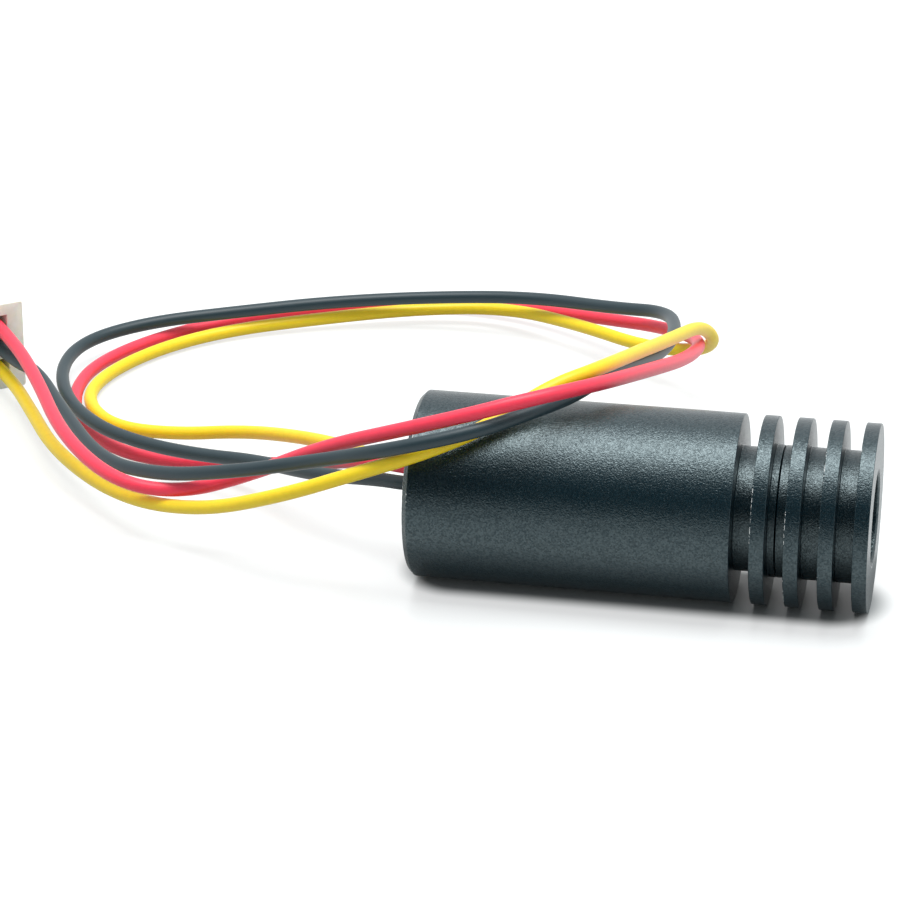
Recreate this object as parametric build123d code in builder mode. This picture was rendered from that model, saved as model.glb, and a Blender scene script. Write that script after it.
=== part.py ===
from build123d import *
from math import asin, cos, radians, sin, sqrt, tan
import os

# A laser diode module with an adjustable lens head, lying on its side, and its three leads.
# Millimetres. The barrel's axis is along X, the beam leaves towards +X and Z is up. The origin is
# on the surface that the module lies on, under the middle of its length.

# Turned aluminium housing, the sizes that show
barrel_diameter = 18.0
barrel_length = 31.05
fin_depth = 2.7
neck_step = 0.35
neck_gap = 1.85
fin_thickness = 1.4
fin_gap = 1.8
head_fin_count = 3
rear_chamfer = 0.5
edge_break = 0.15

# Joint between the barrel and the screwed lens head
stub_length = 0.7
seam_gap = 0.08
stub_wall = 1.3
spigot_length = 3.0
running_clearance = 0.04
fit_clearance = 0.02
cut_overrun = 1.0

# Bores of the barrel
barrel_wall = 1.5
front_wall = 6.0
seat_step = 1.5
seat_depth = 5.0

# Lens head, lens cell and lens
head_wall = 1.8
mouth_chamfer = 0.2
lens_recess = 4.6
cell_length = 3.3
cell_lip = 0.9
slot_width = 0.8
slot_depth = 0.5
cell_seat_width = 0.9
cell_wall = 1.0
aperture_lip = 0.5
lens_edge = 1.2
lens_rim_width = 0.6
lens_dome_height = 0.85
retainer_thickness = 0.8
retainer_width = 0.6

# Laser diode in its metal can, with its holder and the ring that locks it
header_diameter = 5.6
header_thickness = 1.2
notch_radius = 0.25
flange_diameter = 4.4
flange_thickness = 0.2
can_diameter = 3.6
can_height = 2.3
can_wall = 0.2
window_hole = 1.8
window_diameter = 2.8
window_thickness = 0.25
post_width = 1.6
post_height = 1.1
post_length = 1.5
chip_length = 0.8
chip_width = 0.3
chip_thickness = 0.1
pin_diameter = 0.45
pin_circle_radius = 1.0
pin_length = 6.5
cap_hole_clearance = 0.1
ring_overlap = 0.7
ring_thickness = 1.0
ring_bore = 4.0
ring_slot_width = 0.6
ring_slot_depth = 0.4

# Driver board, held between the diode's pins
board_side_clearance = 0.15
board_corner = 0.8
board_pin_overlap = 3.5
part_gap = 0.3
row_gap = 0.2
pad_inset = 1.1
strap_thickness = 0.2
regulator_size = (4.9, 3.9, 1.4)
regulator_leg_span = 6.0
regulator_leg_width = 0.42
regulator_leg_pitch = 1.27
inductor_size = (5.0, 5.0, 2.3)
inductor_corner = 0.9
inductor_core_diameter = 3.6
inductor_core_depth = 0.3
diode_body_size = (4.3, 2.6, 1.8)
diode_body_strap = (5.2, 1.4)
capacitor_size = (3.5, 2.8, 1.7)
capacitor_strap = (3.9, 2.2)
resistor_size = (1.6, 0.8, 0.45)
resistor_pitch = 1.5
chip_capacitor_size = (1.6, 0.8, 0.8)
chip_capacitor_pitch = 1.5
solder_radius = 0.6
solder_height = 0.65
solder_round = 0.15

# Rear cap and the rubber grommet that the leads leave by
cap_recess = 0.8
cap_thickness = 2.0
cap_chamfer = 0.3
grommet_diameter = 5.6
grommet_flange_diameter = 6.8
grommet_flange_thickness = 0.6
grommet_flange_round = 0.2
grommet_hole = 3.9
bundle_side_distance = 0.2
bundle_lift_height = 0.75

# Leads and the three way crimp connector
lead_diameter = 1.4
arc_share = 0.45
conductor_diameter = 0.4
conductor_straight = 0.6
conductor_lift = 0.3
connector_heading = 128.0
contact_pitch = 2.5
connector_thickness = 5.75
connector_round = 0.3
connector_body_length = 6.4
nose_step = 0.6
nose_length = 3.2
cavity_size = 2.1
cavity_depth = 6.0
mating_hole = 1.0
window_width = 1.3
window_length = 2.2
window_start = 2.8
lead_insertion = 2.5
contact_bore = 0.9

# Places of the parts across the board, as shares of its width
regulator_side_share = -0.25
inductor_side_share = 0.24
diode_body_side_share = -0.25
capacitor_side_share = 0.25
pad_side_shares = {"black": 0.0, "red": -0.2, "yellow": 0.2}

# Points that each lead's run is drawn through, from its inner end to its contact
lead_points = {
    "black": [
        (-18.9, -0.4, 9.0), (-22.9, -0.4, 8.9), (-27.3, 0.1, 8.5), (-33.2, 4.2, 6.9),
        (-40.4, 9.8, 5.1), (-47.4, 13.6, 3.9), (-53.8, 16.2, 3.2), (-59.9, 20.1, 2.9),
        (-65.6, 27.5, 2.6), (-68.9, 36.4, 2.3), (-67.9, 44.2, 2.2), (-60.5, 51.2, 2.6),
        (-47.5, 57.3, 3.2), (-33.0, 61.0, 3.7), (-21.4, 60.2, 4.7), (-11.2, 55.6, 6.1),
        (-4.0, 50.6, 7.6), (-1.9, 41.2, 9.8), (-2.5, 29.0, 12.6), (-3.4, 14.9, 17.4),
        (-3.9, -1.4, 23.1), (-7.9, -11.0, 23.3), (-14.6, -14.4, 21.0), (-24.5, -11.6, 17.1),
        (-36.5, -5.4, 11.8), (-48.0, 1.0, 7.4), (-57.0, 9.0, 5.2), (-65.3, 22.2, 4.9),
        (-71.9, 31.0, 4.9), (-76.5, 36.6, 4.9),
    ],
    "red": [
        (-18.9, -0.4, 10.5), (-22.9, -0.3, 10.6), (-27.0, 1.4, 10.3), (-31.8, 5.4, 8.0),
        (-38.6, 11.6, 4.4), (-45.2, 15.5, 2.0), (-52.2, 17.7, 1.0), (-58.3, 19.7, 0.8),
        (-63.4, 25.6, 0.8), (-66.2, 33.9, 0.8), (-65.4, 42.2, 0.8), (-59.5, 51.4, 0.8),
        (-47.5, 60.6, 0.8), (-34.2, 66.0, 0.9), (-22.7, 64.8, 1.7), (-12.7, 58.7, 3.4),
        (-5.5, 53.4, 5.0), (-0.4, 44.6, 7.4), (-0.6, 29.7, 11.6), (-1.4, 14.0, 17.6),
        (-2.4, -2.5, 23.6), (-6.1, -13.6, 25.6), (-13.7, -15.0, 23.5), (-21.2, -12.2, 20.3),
        (-29.8, -5.8, 14.9), (-38.4, 0.6, 8.6), (-46.0, 0.9, 5.8), (-53.4, 1.8, 5.8),
        (-61.6, 11.6, 6.6), (-67.6, 24.0, 7.2), (-72.3, 31.2, 7.4), (-76.5, 36.6, 7.4),
    ],
    "yellow": [
        (-18.9, 1.0, 9.7), (-22.6, 1.3, 9.7), (-26.2, 3.5, 9.4), (-30.3, 8.0, 8.4),
        (-36.6, 14.6, 6.2), (-44.5, 21.2, 3.2), (-52.7, 23.8, 1.4), (-59.4, 25.8, 0.9),
        (-63.8, 31.4, 0.8), (-64.0, 38.2, 0.8), (-59.6, 47.0, 0.8), (-48.0, 56.2, 1.1),
        (-35.0, 62.0, 1.5), (-24.6, 62.3, 2.1), (-15.2, 57.0, 3.0), (-7.4, 50.4, 3.8),
        (-1.2, 47.0, 4.7), (1.4, 43.9, 7.6), (0.5, 40.2, 10.8), (-1.4, 31.6, 13.9),
        (-3.6, 18.7, 17.7), (-5.6, 3.8, 22.0), (-8.7, -5.2, 22.4), (-13.3, -9.9, 20.3),
        (-20.0, -11.8, 17.4), (-30.5, -8.0, 11.7), (-42.5, -2.8, 4.9), (-53.1, 3.8, 3.0),
        (-62.6, 14.0, 2.5), (-68.6, 24.8, 2.4), (-72.4, 31.2, 2.4), (-76.5, 36.6, 2.4),
    ],
}

# Radii
barrel_radius = barrel_diameter / 2
core_radius = barrel_radius - fin_depth
neck_radius = core_radius - neck_step
spigot_radius = core_radius - stub_wall
bore_radius = barrel_radius - barrel_wall
seat_radius = bore_radius - seat_step
lens_bore_radius = core_radius - head_wall
light_path_radius = lens_bore_radius - cell_seat_width
lens_radius = lens_bore_radius - cell_wall
lens_dome_radius = lens_radius - lens_rim_width
aperture_radius = lens_radius - aperture_lip
retainer_bore_radius = lens_radius - retainer_width
header_radius = header_diameter / 2
ring_radius = header_radius + ring_overlap
cap_hole_radius = flange_diameter / 2 + cap_hole_clearance
pin_radius = pin_diameter / 2
axis_height = barrel_radius

# Places along the axis, from the rear face to the front face
fin_pitch = fin_gap + fin_thickness
module_length = barrel_length + neck_gap + fin_thickness + head_fin_count * fin_pitch
rear_x = -module_length / 2
front_x = module_length / 2
barrel_front_x = rear_x + barrel_length
barrel_fin_x = barrel_front_x + neck_gap
stub_x = barrel_fin_x + fin_thickness
seam_x = stub_x + stub_length
head_x = seam_x + seam_gap
first_head_fin_x = stub_x + fin_gap
seat_x = barrel_front_x - front_wall
ring_front_x = seat_x + ring_thickness
header_front_x = ring_front_x + header_thickness
cell_front_x = front_x - lens_recess
cell_rear_x = cell_front_x - cell_length
lens_seat_x = cell_rear_x - running_clearance
lens_front_x = cell_front_x - cell_lip
lens_rear_x = lens_front_x - lens_edge
cap_rear_x = rear_x + cap_recess
cap_front_x = cap_rear_x + cap_thickness
board_front_x = ring_front_x - pin_length + board_pin_overlap
chip_capacitor_x = board_front_x - board_pin_overlap - row_gap - chip_capacitor_size[0] / 2
resistor_x = chip_capacitor_x - chip_capacitor_size[0] / 2 - row_gap - resistor_size[0] / 2
power_row_x = resistor_x - resistor_size[0] / 2 - part_gap - inductor_size[0] / 2
filter_row_x = board_front_x - part_gap - diode_body_strap[0] / 2
pad_x = power_row_x - inductor_size[0] / 2 - part_gap - solder_radius
board_rear_x = pad_x - pad_inset
board_length = board_front_x - board_rear_x

# The board is as thick as the space between the diode's rows of pins, and as wide as the bore allows
board_top_lift = -pin_radius - fit_clearance
board_bottom_lift = pin_radius - pin_circle_radius + fit_clearance
board_thickness = board_top_lift - board_bottom_lift
board_width = 2 * (sqrt(bore_radius**2 - board_bottom_lift**2) - board_side_clearance)

turning_axis = Axis((0, 0, axis_height), (1, 0, 0))


def section(x, side=0, lift=0):
    """A plane across the barrel at x, facing the beam, with its origin on the axis or beside it."""
    return Plane(origin=(x, side, axis_height + lift), x_dir=(0, 1, 0), z_dir=(1, 0, 0))


def disc_outline(start, end, radius, rear_break, front_break):
    """Half of a disc's section, from the axis out, with its two rims broken."""
    rim = axis_height + radius
    with BuildSketch(Plane.XZ, mode=Mode.PRIVATE) as outline:
        with BuildLine():
            Polyline(
                (start, axis_height),
                (start, rim - rear_break),
                (start + rear_break, rim),
                (end - front_break, rim),
                (end, rim - front_break),
                (end, axis_height),
                close=True,
            )
        make_face()
    return outline.sketch


def save(piece, name):
    """Label one finished piece and write its file."""
    piece.part.label = name
    export_step(piece.part, f"parts/{name}.step")


os.makedirs("parts", exist_ok=True)

# Barrel, turned from one bar with its groove, the first fin and the stub that the head meets
with BuildPart() as barrel:
    revolve(disc_outline(rear_x, barrel_front_x, barrel_radius, rear_chamfer, edge_break), turning_axis)
    revolve(disc_outline(barrel_fin_x, stub_x, barrel_radius, edge_break, edge_break), turning_axis)
    with BuildSketch(section(barrel_front_x)):
        Circle(neck_radius)
    extrude(amount=neck_gap)
    with BuildSketch(section(stub_x)):
        Circle(core_radius)
    extrude(amount=stub_length)
    with BuildSketch(section(rear_x)):
        Circle(bore_radius)
    extrude(amount=seat_x - rear_x, mode=Mode.SUBTRACT)
    with BuildSketch(section(seat_x)):
        Circle(seat_radius)
    extrude(amount=seat_depth, mode=Mode.SUBTRACT)
    with BuildSketch(section(seam_x)):
        Circle(spigot_radius + running_clearance)
    extrude(amount=seat_x - seam_x, mode=Mode.SUBTRACT)
    rear_rims = barrel.edges().filter_by(GeomType.CIRCLE).group_by(Axis.X)[0]
    chamfer(rear_rims.sort_by(SortBy.RADIUS)[0], length=edge_break)
save(barrel, "barrel")

# Lens head, with three fins and the spigot that turns in the barrel
with BuildPart() as lens_head:
    revolve(disc_outline(head_x, front_x, core_radius, edge_break, edge_break), turning_axis)
    for index in range(head_fin_count):
        fin_x = first_head_fin_x + index * fin_pitch
        revolve(
            disc_outline(fin_x, fin_x + fin_thickness, barrel_radius, edge_break, edge_break),
            turning_axis,
        )
    with BuildSketch(section(head_x)):
        Circle(spigot_radius)
    extrude(amount=-spigot_length)
    with BuildSketch(section(front_x)):
        Circle(lens_bore_radius)
    extrude(amount=lens_seat_x - front_x, mode=Mode.SUBTRACT)
    with BuildSketch(section(lens_seat_x + cut_overrun)):
        Circle(light_path_radius)
    extrude(amount=head_x - spigot_length - cut_overrun - lens_seat_x - cut_overrun, mode=Mode.SUBTRACT)
    front_rims = lens_head.edges().filter_by(GeomType.CIRCLE).group_by(Axis.X)[-1]
    chamfer(front_rims.sort_by(SortBy.RADIUS)[0], length=mouth_chamfer)
save(lens_head, "lens_head")

# Lens cell, a slotted ring that holds the lens behind its lip
with BuildPart() as lens_cell:
    with BuildSketch(section(cell_rear_x)):
        Circle(lens_bore_radius - running_clearance)
    extrude(amount=cell_length)
    with BuildSketch(section(cell_rear_x)):
        Circle(lens_radius)
    extrude(amount=cell_length - cell_lip, mode=Mode.SUBTRACT)
    with BuildSketch(section(cell_front_x + cut_overrun)):
        Circle(aperture_radius)
    extrude(amount=-cell_length, mode=Mode.SUBTRACT)
    with BuildSketch(section(cell_front_x)):
        Rectangle(2 * lens_bore_radius, slot_width)
    extrude(amount=-slot_depth, mode=Mode.SUBTRACT)
save(lens_cell, "lens_cell")

# Lens, flat behind and domed in front
dome_radius = (lens_dome_radius**2 + lens_dome_height**2) / (2 * lens_dome_height)
dome_centre_x = lens_front_x + lens_dome_height - dome_radius
half_dome = asin(lens_dome_radius / dome_radius) / 2
with BuildPart() as lens:
    with BuildSketch(Plane.XZ):
        with BuildLine():
            Polyline(
                (lens_front_x + lens_dome_height, axis_height),
                (lens_rear_x, axis_height),
                (lens_rear_x, axis_height + lens_radius - fit_clearance),
                (lens_front_x, axis_height + lens_radius - fit_clearance),
                (lens_front_x, axis_height + lens_dome_radius),
            )
            ThreePointArc(
                (lens_front_x, axis_height + lens_dome_radius),
                (
                    dome_centre_x + dome_radius * cos(half_dome),
                    axis_height + dome_radius * sin(half_dome),
                ),
                (lens_front_x + lens_dome_height, axis_height),
            )
        make_face()
    revolve(axis=turning_axis)
save(lens, "lens")

# Ring that holds the lens in its cell
with BuildPart() as lens_retainer:
    with BuildSketch(section(lens_rear_x)):
        Circle(lens_radius - fit_clearance)
        Circle(retainer_bore_radius, mode=Mode.SUBTRACT)
    extrude(amount=-retainer_thickness)
save(lens_retainer, "lens_retainer")

# Brass holder pressed into the barrel's front wall, bored for the diode
with BuildPart() as diode_holder:
    with BuildSketch(section(seat_x)):
        Circle(seat_radius - fit_clearance)
    extrude(amount=seat_depth)
    with BuildSketch(section(seat_x)):
        Circle(ring_radius)
    extrude(amount=ring_thickness, mode=Mode.SUBTRACT)
    with BuildSketch(section(ring_front_x)):
        Circle(header_radius)
    extrude(amount=header_thickness, mode=Mode.SUBTRACT)
    with BuildSketch(section(header_front_x)):
        Circle(cap_hole_radius)
    extrude(amount=seat_depth, mode=Mode.SUBTRACT)
    front_edges = diode_holder.edges().filter_by(GeomType.CIRCLE).group_by(Axis.X)[-1]
    chamfer(front_edges, length=edge_break)
save(diode_holder, "diode_holder")

# Slotted ring that locks the diode in its holder
with BuildPart() as diode_ring:
    with BuildSketch(section(seat_x)):
        Circle(ring_radius - fit_clearance)
        Circle(ring_bore / 2, mode=Mode.SUBTRACT)
    extrude(amount=ring_thickness)
    with BuildSketch(section(seat_x)):
        Rectangle(2 * ring_radius, ring_slot_width)
    extrude(amount=ring_slot_depth, mode=Mode.SUBTRACT)
save(diode_ring, "diode_ring")

# Diode header, a notched disc with the post that carries the chip
with BuildPart() as diode_header:
    with BuildSketch(section(ring_front_x)):
        Circle(header_radius - fit_clearance)
        with PolarLocations(header_radius, 2):
            Circle(notch_radius, mode=Mode.SUBTRACT)
    extrude(amount=header_thickness)
    with BuildSketch(section(header_front_x, lift=-chip_thickness)):
        Rectangle(post_width, post_height, align=(Align.CENTER, Align.MAX))
    extrude(amount=post_length)
save(diode_header, "diode_header")

# Laser chip on the post, with its front facet flush with the post's end
with BuildPart() as laser_chip:
    with BuildSketch(section(header_front_x + post_length, lift=-chip_thickness)):
        Rectangle(chip_width, chip_thickness, align=(Align.CENTER, Align.MIN))
    extrude(amount=-chip_length)
save(laser_chip, "laser_chip")

# Diode can, open behind, with the hole for its window
with BuildPart() as diode_cap:
    with BuildSketch(section(header_front_x)):
        Circle(flange_diameter / 2)
    extrude(amount=flange_thickness)
    with BuildSketch(section(header_front_x)):
        Circle(can_diameter / 2)
    extrude(amount=can_height)
    with BuildSketch(section(header_front_x)):
        Circle(can_diameter / 2 - can_wall)
    extrude(amount=can_height - can_wall, mode=Mode.SUBTRACT)
    with BuildSketch(section(header_front_x)):
        Circle(window_hole / 2)
    extrude(amount=can_height, mode=Mode.SUBTRACT)
save(diode_cap, "diode_cap")

# Glass window inside the can's end
with BuildPart() as diode_window:
    with BuildSketch(section(header_front_x + can_height - can_wall)):
        Circle(window_diameter / 2)
    extrude(amount=-window_thickness)
save(diode_window, "diode_window")

# The diode's three pins, two above the board and one below it
with BuildPart() as diode_pins:
    with BuildSketch(section(ring_front_x)):
        with Locations((pin_circle_radius, 0), (-pin_circle_radius, 0), (0, -pin_circle_radius)):
            Circle(pin_radius)
    extrude(amount=-pin_length)
save(diode_pins, "diode_pins")

# Driver board
with BuildPart() as driver_board:
    with BuildSketch(section(board_rear_x, lift=board_top_lift)):
        Rectangle(board_width, board_thickness, align=(Align.CENTER, Align.MAX))
    extrude(amount=board_length)
    chamfer(driver_board.edges().filter_by(Axis.Z), length=board_corner)
save(driver_board, "driver_board")


def board_place(x, side_share=0):
    """The plane on the board's top face at x, with its side place as a share of the board's width."""
    return Plane.XY.offset(axis_height + board_top_lift).move(
        Location((x, board_width * side_share, 0))
    )


# Regulator, with its legs as straps under the body
with BuildPart() as regulator_ic:
    with BuildSketch(board_place(power_row_x, regulator_side_share)):
        with GridLocations(regulator_leg_pitch, 0, 4, 1):
            Rectangle(regulator_leg_width, regulator_leg_span)
    extrude(amount=strap_thickness)
    with BuildSketch(board_place(power_row_x, regulator_side_share).offset(strap_thickness)):
        Rectangle(regulator_size[0], regulator_size[1])
    extrude(amount=regulator_size[2])
    chamfer(regulator_ic.edges().group_by(Axis.Z)[-1], length=edge_break)
save(regulator_ic, "regulator_ic")

# Shielded power inductor
with BuildPart() as power_inductor:
    with BuildSketch(board_place(power_row_x, inductor_side_share)):
        RectangleRounded(inductor_size[0], inductor_size[1], inductor_corner)
    extrude(amount=inductor_size[2])
    with BuildSketch(board_place(power_row_x, inductor_side_share).offset(inductor_size[2])):
        Circle(inductor_core_diameter / 2)
    extrude(amount=-inductor_core_depth, mode=Mode.SUBTRACT)
save(power_inductor, "power_inductor")

# Protection diode and filter capacitor, each a moulded block on its metal straps
with BuildPart() as protection_diode:
    with BuildSketch(board_place(filter_row_x, diode_body_side_share)):
        Rectangle(*diode_body_strap)
    extrude(amount=strap_thickness)
    with BuildSketch(board_place(filter_row_x, diode_body_side_share).offset(strap_thickness)):
        Rectangle(diode_body_size[0], diode_body_size[1])
    extrude(amount=diode_body_size[2])
    chamfer(protection_diode.edges().group_by(Axis.Z)[-1], length=edge_break)
save(protection_diode, "protection_diode")

with BuildPart() as filter_capacitor:
    with BuildSketch(board_place(filter_row_x, capacitor_side_share)):
        Rectangle(*capacitor_strap)
    extrude(amount=strap_thickness)
    with BuildSketch(board_place(filter_row_x, capacitor_side_share).offset(strap_thickness)):
        Rectangle(capacitor_size[0], capacitor_size[1])
    extrude(amount=capacitor_size[2])
    chamfer(filter_capacitor.edges().group_by(Axis.Z)[-1], length=edge_break)
save(filter_capacitor, "filter_capacitor")

# Chip resistors and capacitors in two rows along the board's middle
with BuildPart() as chip_resistors:
    with BuildSketch(board_place(resistor_x)):
        with GridLocations(0, resistor_pitch, 1, 2):
            Rectangle(resistor_size[0], resistor_size[1])
    extrude(amount=resistor_size[2])
save(chip_resistors, "chip_resistors")

with BuildPart() as chip_capacitors:
    with BuildSketch(board_place(chip_capacitor_x)):
        with GridLocations(0, chip_capacitor_pitch, 1, 2):
            Rectangle(chip_capacitor_size[0], chip_capacitor_size[1])
    extrude(amount=chip_capacitor_size[2])
save(chip_capacitors, "chip_capacitors")


def corner_radii(points):
    """Radii for a run's corners, each from the shorter of the two runs that meet there."""
    radii = []
    for before, corner, after in zip(points, points[1:], points[2:]):
        run_in = Vector(*corner) - Vector(*before)
        run_out = Vector(*after) - Vector(*corner)
        half_turn = radians(run_in.get_angle(run_out)) / 2
        radii.append(arc_share * min(run_in.length, run_out.length) / tan(half_turn))
    return radii


def tube(points, diameter):
    """A round cord or wire along the points, with its corners rounded."""
    with BuildPart() as cord:
        with BuildLine() as run:
            FilletPolyline(*points, radius=corner_radii(points))
        with BuildSketch(Plane(origin=points[0], z_dir=Vector(*points[1]) - Vector(*points[0]))):
            Circle(diameter / 2)
        sweep(path=run.line)
    return cord


# Bared ends of the leads, bent down to their pads on the board
board_top_z = axis_height + board_top_lift
conductor_z = board_top_z + conductor_lift
with BuildPart() as lead_conductors:
    for lead, points in lead_points.items():
        start_x, start_y, start_z = points[0]
        start_x += fit_clearance
        pad_y = board_width * pad_side_shares[lead]
        ends = [
            (start_x, start_y, start_z),
            (start_x + conductor_straight, start_y, start_z),
            (pad_x - conductor_straight, pad_y, conductor_z),
            (pad_x + conductor_straight, pad_y, conductor_z),
        ]
        add(tube(ends, conductor_diameter).part)
save(lead_conductors, "lead_conductors")

# Solder on the pads and on the diode's pins, above and below the board
pin_joint_x = board_front_x - board_pin_overlap / 2
with BuildPart() as solder_joints:
    with BuildSketch(Plane.XY.offset(board_top_z)):
        with Locations(*[(pad_x, board_width * share) for share in pad_side_shares.values()]):
            Circle(solder_radius)
        with Locations((pin_joint_x, pin_circle_radius), (pin_joint_x, -pin_circle_radius)):
            Circle(solder_radius)
    extrude(amount=solder_height)
    with BuildSketch(Plane.XY.offset(axis_height + board_bottom_lift)):
        with Locations((pin_joint_x, 0)):
            Circle(solder_radius)
    extrude(amount=-solder_height)
    chamfer(solder_joints.edges().filter_by(GeomType.CIRCLE).group_by(Axis.Z)[-1], length=solder_round)
    chamfer(solder_joints.edges().filter_by(GeomType.CIRCLE).group_by(Axis.Z)[0], length=solder_round)
    add(lead_conductors.part, mode=Mode.SUBTRACT)
    add(diode_pins.part, mode=Mode.SUBTRACT)
save(solder_joints, "solder_joints")

# Rear cap, a plug with an opening for the grommet
with BuildPart() as rear_cap:
    with BuildSketch(section(cap_rear_x)):
        Circle(bore_radius - fit_clearance)
    extrude(amount=cap_thickness)
    chamfer(rear_cap.edges().group_by(Axis.X)[0], length=cap_chamfer)
    with BuildSketch(section(cap_rear_x, bundle_side_distance, bundle_lift_height)):
        Circle(grommet_diameter / 2 + fit_clearance)
    extrude(amount=cap_thickness, mode=Mode.SUBTRACT)
save(rear_cap, "rear_cap")

# Grommet with its flange outside the cap
with BuildPart() as lead_grommet:
    with BuildSketch(section(cap_rear_x, bundle_side_distance, bundle_lift_height)):
        Circle(grommet_diameter / 2)
    extrude(amount=cap_thickness)
    with BuildSketch(section(cap_rear_x, bundle_side_distance, bundle_lift_height)):
        Circle(grommet_flange_diameter / 2)
    extrude(amount=-grommet_flange_thickness)
    fillet(lead_grommet.edges().group_by(Axis.X)[0], radius=grommet_flange_round)
    with BuildSketch(section(cap_rear_x - grommet_flange_thickness, bundle_side_distance, bundle_lift_height)):
        Circle(grommet_hole / 2)
    extrude(amount=cap_thickness + grommet_flange_thickness, mode=Mode.SUBTRACT)
save(lead_grommet, "lead_grommet")

# Leads
for lead, points in lead_points.items():
    cord = tube(points, lead_diameter)
    print(lead, "radii", [round(radius, 1) for radius in corner_radii(points)])
    save(cord, f"{lead}_lead")

# Connector, standing on its narrow side, with its depth measured from the face that the leads enter
lead_end_x, lead_end_y, connector_mid_height = lead_points["black"][-1]
heading_x = cos(radians(connector_heading))
heading_y = sin(radians(connector_heading))
connector_height = 2 * connector_mid_height


def connector_section(depth, row=0):
    """A plane across the connector, its x across the thickness and its y up, at one of its rows."""
    travel = depth - lead_insertion
    return Plane(
        origin=(
            lead_end_x + travel * heading_x,
            lead_end_y + travel * heading_y,
            connector_mid_height + row * contact_pitch,
        ),
        x_dir=(-heading_y, heading_x, 0),
        z_dir=(heading_x, heading_y, 0),
    )


with BuildPart() as connector_housing:
    with BuildSketch(connector_section(0)):
        RectangleRounded(connector_thickness, connector_height, connector_round)
    extrude(amount=connector_body_length)
    with BuildSketch(connector_section(connector_body_length)):
        Rectangle(connector_thickness - 2 * nose_step, connector_height - 2 * nose_step)
    extrude(amount=nose_length)
    with BuildSketch(connector_section(0)):
        with GridLocations(0, contact_pitch, 1, 3):
            Rectangle(cavity_size, cavity_size)
    extrude(amount=cavity_depth, mode=Mode.SUBTRACT)
    with BuildSketch(connector_section(cavity_depth)):
        with GridLocations(0, contact_pitch, 1, 3):
            Rectangle(mating_hole, mating_hole)
    extrude(amount=connector_body_length + nose_length, mode=Mode.SUBTRACT)
    for row in (-1, 0, 1):
        with BuildSketch(connector_section(window_start, row)):
            with Locations((-connector_thickness / 2, 0)):
                Rectangle(connector_thickness, window_width)
        extrude(amount=window_length, mode=Mode.SUBTRACT)
save(connector_housing, "connector_housing")

# Crimped contacts, each a hollow box at its lead's end
contact_width = cavity_size - 2 * fit_clearance
with BuildPart() as connector_contacts:
    with BuildSketch(connector_section(lead_insertion + fit_clearance)):
        with GridLocations(0, contact_pitch, 1, 3):
            Rectangle(contact_width, contact_width)
            Circle(contact_bore / 2, mode=Mode.SUBTRACT)
    extrude(amount=cavity_depth - lead_insertion - 2 * fit_clearance)
save(connector_contacts, "connector_contacts")
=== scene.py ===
# %% [markdown]
# A laser diode module lies on a white table with its three leads looped back over it.
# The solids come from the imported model. Here the housing gets turned, bead blasted metal with soft
# edges, the leads become smooth curves, and every surface gets a finish of its own.

import bpy
import bmesh
from math import cos, pi, radians, sin
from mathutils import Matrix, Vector


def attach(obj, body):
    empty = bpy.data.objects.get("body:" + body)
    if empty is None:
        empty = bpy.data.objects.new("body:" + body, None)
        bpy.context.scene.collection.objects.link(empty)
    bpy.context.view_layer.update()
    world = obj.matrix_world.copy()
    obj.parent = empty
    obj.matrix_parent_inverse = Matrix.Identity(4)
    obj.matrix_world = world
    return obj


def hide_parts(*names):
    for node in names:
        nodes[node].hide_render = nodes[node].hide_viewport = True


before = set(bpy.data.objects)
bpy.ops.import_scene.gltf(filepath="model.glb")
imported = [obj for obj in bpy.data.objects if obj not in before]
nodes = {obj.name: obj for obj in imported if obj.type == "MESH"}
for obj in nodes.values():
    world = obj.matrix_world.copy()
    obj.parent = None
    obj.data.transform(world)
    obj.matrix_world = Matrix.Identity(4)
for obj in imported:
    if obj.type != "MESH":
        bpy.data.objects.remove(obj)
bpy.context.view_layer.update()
MM = 0.001

# %% [markdown]
# Colours are written as they look on a screen. Blender works with linear light, so one function turns
# a hex value into linear numbers by the sRGB curve. A second function adds a shader node, sets it up
# and links it. Most finishes here have two near tones, so another sets a colour ramp to them: noise
# stays mostly between 0.35 and 0.65, and the blend lies there.

# %% Colour and node helpers
def colour(hex_code):
    """Linear red, green, blue and alpha of an sRGB hex colour."""
    linear = []
    for start in (1, 3, 5):
        value = int(hex_code[start : start + 2], 16) / 255
        linear.append(value / 12.92 if value <= 0.04045 else ((value + 0.055) / 1.055) ** 2.4)
    return (*linear, 1.0)


def add_node(tree, kind, links=None, values=None, **settings):
    """Add one node, with its settings, its socket values and its incoming links."""
    node = tree.nodes.new(kind)
    for name, value in settings.items():
        setattr(node, name, value)
    for name, value in (values or {}).items():
        node.inputs[name].default_value = value
    for name, source in (links or {}).items():
        tree.links.new(source, node.inputs[name])
    return node


def new_finish(name, **values):
    """A material with one Principled surface, and its node tree, ready for more nodes."""
    material = bpy.data.materials.new(name)
    material.use_nodes = True
    tree = material.node_tree
    surface = tree.nodes["Principled BSDF"]
    for socket, value in values.items():
        surface.inputs[socket.replace("_", " ")].default_value = value
    return material, tree, surface


def two_tones(ramp, dark, light):
    """Blend a colour ramp from one hex colour to another over the middle of a noise's range."""
    low, high = ramp.color_ramp.elements
    low.position = 0.35
    low.color = colour(dark)
    high.position = 0.65
    high.color = colour(light)


def dress(material, *names):
    """Give CAD nodes one finish."""
    for name in names:
        node = nodes[name]
        node.data.materials.clear()
        node.data.materials.append(material)


print("mid grey", [round(value, 3) for value in colour("#808080")])

# %% [markdown]
# The photograph was taken from in front of the module, a little towards its lens end and from 24
# degrees above the table. It is close to a telephoto view: the far and near ends differ little in
# size. The camera is placed by its distance and two angles round the point that it looks at.

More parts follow.
